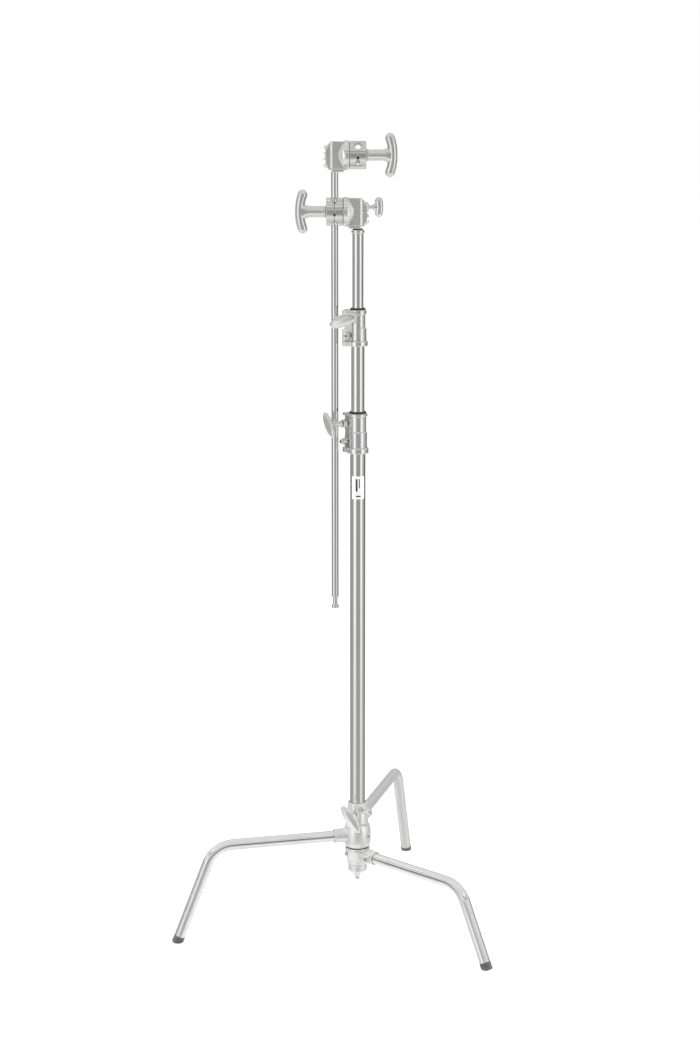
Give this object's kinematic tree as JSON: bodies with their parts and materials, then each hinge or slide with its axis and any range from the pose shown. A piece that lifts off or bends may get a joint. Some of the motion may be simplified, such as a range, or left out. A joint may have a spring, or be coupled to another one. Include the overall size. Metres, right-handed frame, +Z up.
{
  "type": "c stand",
  "caption": "Folding three-leg lighting stand with a telescoping clamped column, a gobo head on top and a jaw-held extension arm that carries another gobo head.",
  "frame": {"origin": "on the floor at the middle of the rectangle the stand covers; the column axis stands at x 63.4 mm, y -117.9 mm", "axes": "+Z up along the column; +X from the hanging arm towards the column and the stand head's lock screw; +Y from the collar T-handles to the tall rear leg"},
  "size_m": [0.7285, 0.8024, 1.829],
  "materials": {
    "chrome_tube": "bright plated tube",
    "cast_chrome": "plated casting, slightly satin",
    "bolt_steel": "zinc plated steel",
    "spring_steel": "spring steel",
    "rubber": "matte",
    "black_plastic": "moulded",
    "fibre": "pressed fibre",
    "label": "blank satin film"
  },
  "bodies": {
    "base": {"high_leg_casting": "cast_chrome", "high_leg_tube": "chrome_tube", "high_leg_foot": "rubber", "high_leg_screws": "bolt_steel", "hub_sleeve": "bolt_steel", "hub_plug": "bolt_steel", "hub_tie_bolt": "bolt_steel", "hub_spring": "spring_steel", "hub_cap": "cast_chrome", "hub_nut": "bolt_steel"},
    "mid_leg": {"mid_leg_casting": "cast_chrome", "mid_leg_tube": "chrome_tube", "mid_leg_foot": "rubber", "mid_leg_screws": "bolt_steel"},
    "low_leg": {"low_leg_casting": "cast_chrome", "low_leg_tube": "chrome_tube", "low_leg_foot": "rubber", "low_leg_screws": "bolt_steel"},
    "base_clamp": {"base_t_handle": "cast_chrome"},
    "column": {"lower_tube": "chrome_tube", "lower_collar": "cast_chrome", "lower_collar_bolt": "bolt_steel", "lower_collar_nuts": "bolt_steel", "lower_collar_bush": "black_plastic", "tube_label": "label"},
    "lower_clamp": {"lower_t_handle": "cast_chrome"},
    "middle_riser": {"middle_tube": "chrome_tube", "middle_tube_guide": "black_plastic", "middle_collar": "cast_chrome", "middle_collar_bolt": "bolt_steel", "middle_collar_nuts": "bolt_steel", "middle_collar_bush": "black_plastic"},
    "middle_clamp": {"middle_t_handle": "cast_chrome"},
    "top_riser": {"top_tube": "chrome_tube", "top_tube_guide": "black_plastic", "top_pin": "chrome_tube", "top_ferrule": "chrome_tube", "pin_ring": "rubber"},
    "stand_head": {"stand_head_body": "cast_chrome", "stand_head_bolt": "bolt_steel", "stand_friction_washer": "fibre"},
    "head_lock": {"head_lock_t_handle": "cast_chrome"},
    "stand_jaws": {"stand_inner_jaw": "cast_chrome", "stand_jaw_spring": "spring_steel"},
    "stand_outer": {"stand_outer_jaw": "cast_chrome", "stand_thrust_washer": "bolt_steel"},
    "stand_handle": {"stand_t_handle": "cast_chrome"},
    "arm": {"arm_tube": "chrome_tube", "arm_end_stud": "chrome_tube", "arm_head_body": "cast_chrome", "arm_head_pin": "bolt_steel", "arm_head_bolt": "bolt_steel", "arm_friction_washer": "fibre"},
    "arm_jaws": {"arm_inner_jaw": "cast_chrome", "arm_jaw_spring": "spring_steel"},
    "arm_outer": {"arm_outer_jaw": "cast_chrome", "arm_thrust_washer": "bolt_steel"},
    "arm_handle": {"arm_t_handle": "cast_chrome"}
  },
  "joints": [
    {"name": "mid_leg_fold", "type": "hinge", "parent": "base", "child": "mid_leg", "pos_m": [0.0634, -0.1179, 0.22], "axis": [0, 0, 1], "range_deg": [-119.5, 0]},
    {"name": "low_leg_fold", "type": "hinge", "parent": "base", "child": "low_leg", "pos_m": [0.0634, -0.1179, 0.174], "axis": [0, 0, 1], "range_deg": [0, 119]},
    {"name": "base_clamp_turn", "type": "hinge", "parent": "base", "child": "base_clamp", "pos_m": [0.0634, -0.1179, 0.276], "axis": [-0.2588, -0.9659, 0], "range_deg": [-45, 360]},
    {"name": "column_lift", "type": "slide", "parent": "base", "child": "column", "axis": [0, 0, 1], "range_m": [0, 0.12]},
    {"name": "lower_clamp_turn", "type": "hinge", "parent": "column", "child": "lower_clamp", "pos_m": [0.05071, -0.09908, 1.1865], "axis": [-0.829, -0.5592, 0], "range_deg": [-45, 360]},
    {"name": "middle_riser_slide", "type": "slide", "parent": "column", "child": "middle_riser", "axis": [0, 0, 1], "range_m": [-0.146, 0.765]},
    {"name": "middle_clamp_turn", "type": "hinge", "parent": "middle_riser", "child": "middle_clamp", "pos_m": [0.04345, -0.11366, 1.424], "axis": [-0.2079, -0.9781, 0], "range_deg": [-45, 360]},
    {"name": "top_riser_slide", "type": "slide", "parent": "middle_riser", "child": "top_riser", "axis": [0, 0, 1], "range_m": [-0.155, 0.8]},
    {"name": "stand_head_swivel", "type": "hinge", "parent": "top_riser", "child": "stand_head", "pos_m": [0.0634, -0.1179, 1.6585], "axis": [0, 0, 1], "range_deg": [-190, 5]},
    {"name": "head_lock_turn", "type": "hinge", "parent": "stand_head", "child": "head_lock", "pos_m": [0.0934, -0.1179, 1.6685], "axis": [1, 0, 0], "range_deg": [-45, 360]},
    {"name": "arm_tilt", "type": "hinge", "parent": "stand_head", "child": "stand_jaws", "pos_m": [0.012, -0.1179, 1.6585], "axis": [1, 0, 0], "range_deg": [0, 150]},
    {"name": "stand_jaw_open", "type": "slide", "parent": "stand_jaws", "child": "stand_outer", "axis": [-1, 0, 0], "range_m": [0, 0.00586]},
    {"name": "stand_handle_turn", "type": "hinge", "parent": "stand_outer", "child": "stand_handle", "pos_m": [-0.0266, -0.1179, 1.6585], "axis": [-1, 0, 0], "range_deg": [0, 1120]},
    {"name": "arm_slide", "type": "slide", "parent": "stand_jaws", "child": "arm", "axis": [0, 0, 1], "range_m": [-0.05, 0.84]},
    {"name": "arm_jaws_turn", "type": "hinge", "parent": "arm", "child": "arm_jaws", "pos_m": [0.0634, -0.1009, 1.781], "axis": [1, 0, 0], "continuous": true},
    {"name": "arm_jaw_open", "type": "slide", "parent": "arm_jaws", "child": "arm_outer", "axis": [1, 0, 0], "range_m": [0, 0.00586]},
    {"name": "arm_handle_turn", "type": "hinge", "parent": "arm_outer", "child": "arm_handle", "pos_m": [0.1034, -0.1009, 1.781], "axis": [1, 0, 0], "range_deg": [0, 1120]}
  ],
  "couplings": [
    {"joint": "stand_handle_turn", "follows": "stand_jaw_open", "rad_per_m": 3215.8},
    {"joint": "arm_handle_turn", "follows": "arm_jaw_open", "rad_per_m": 3215.8}
  ]
}
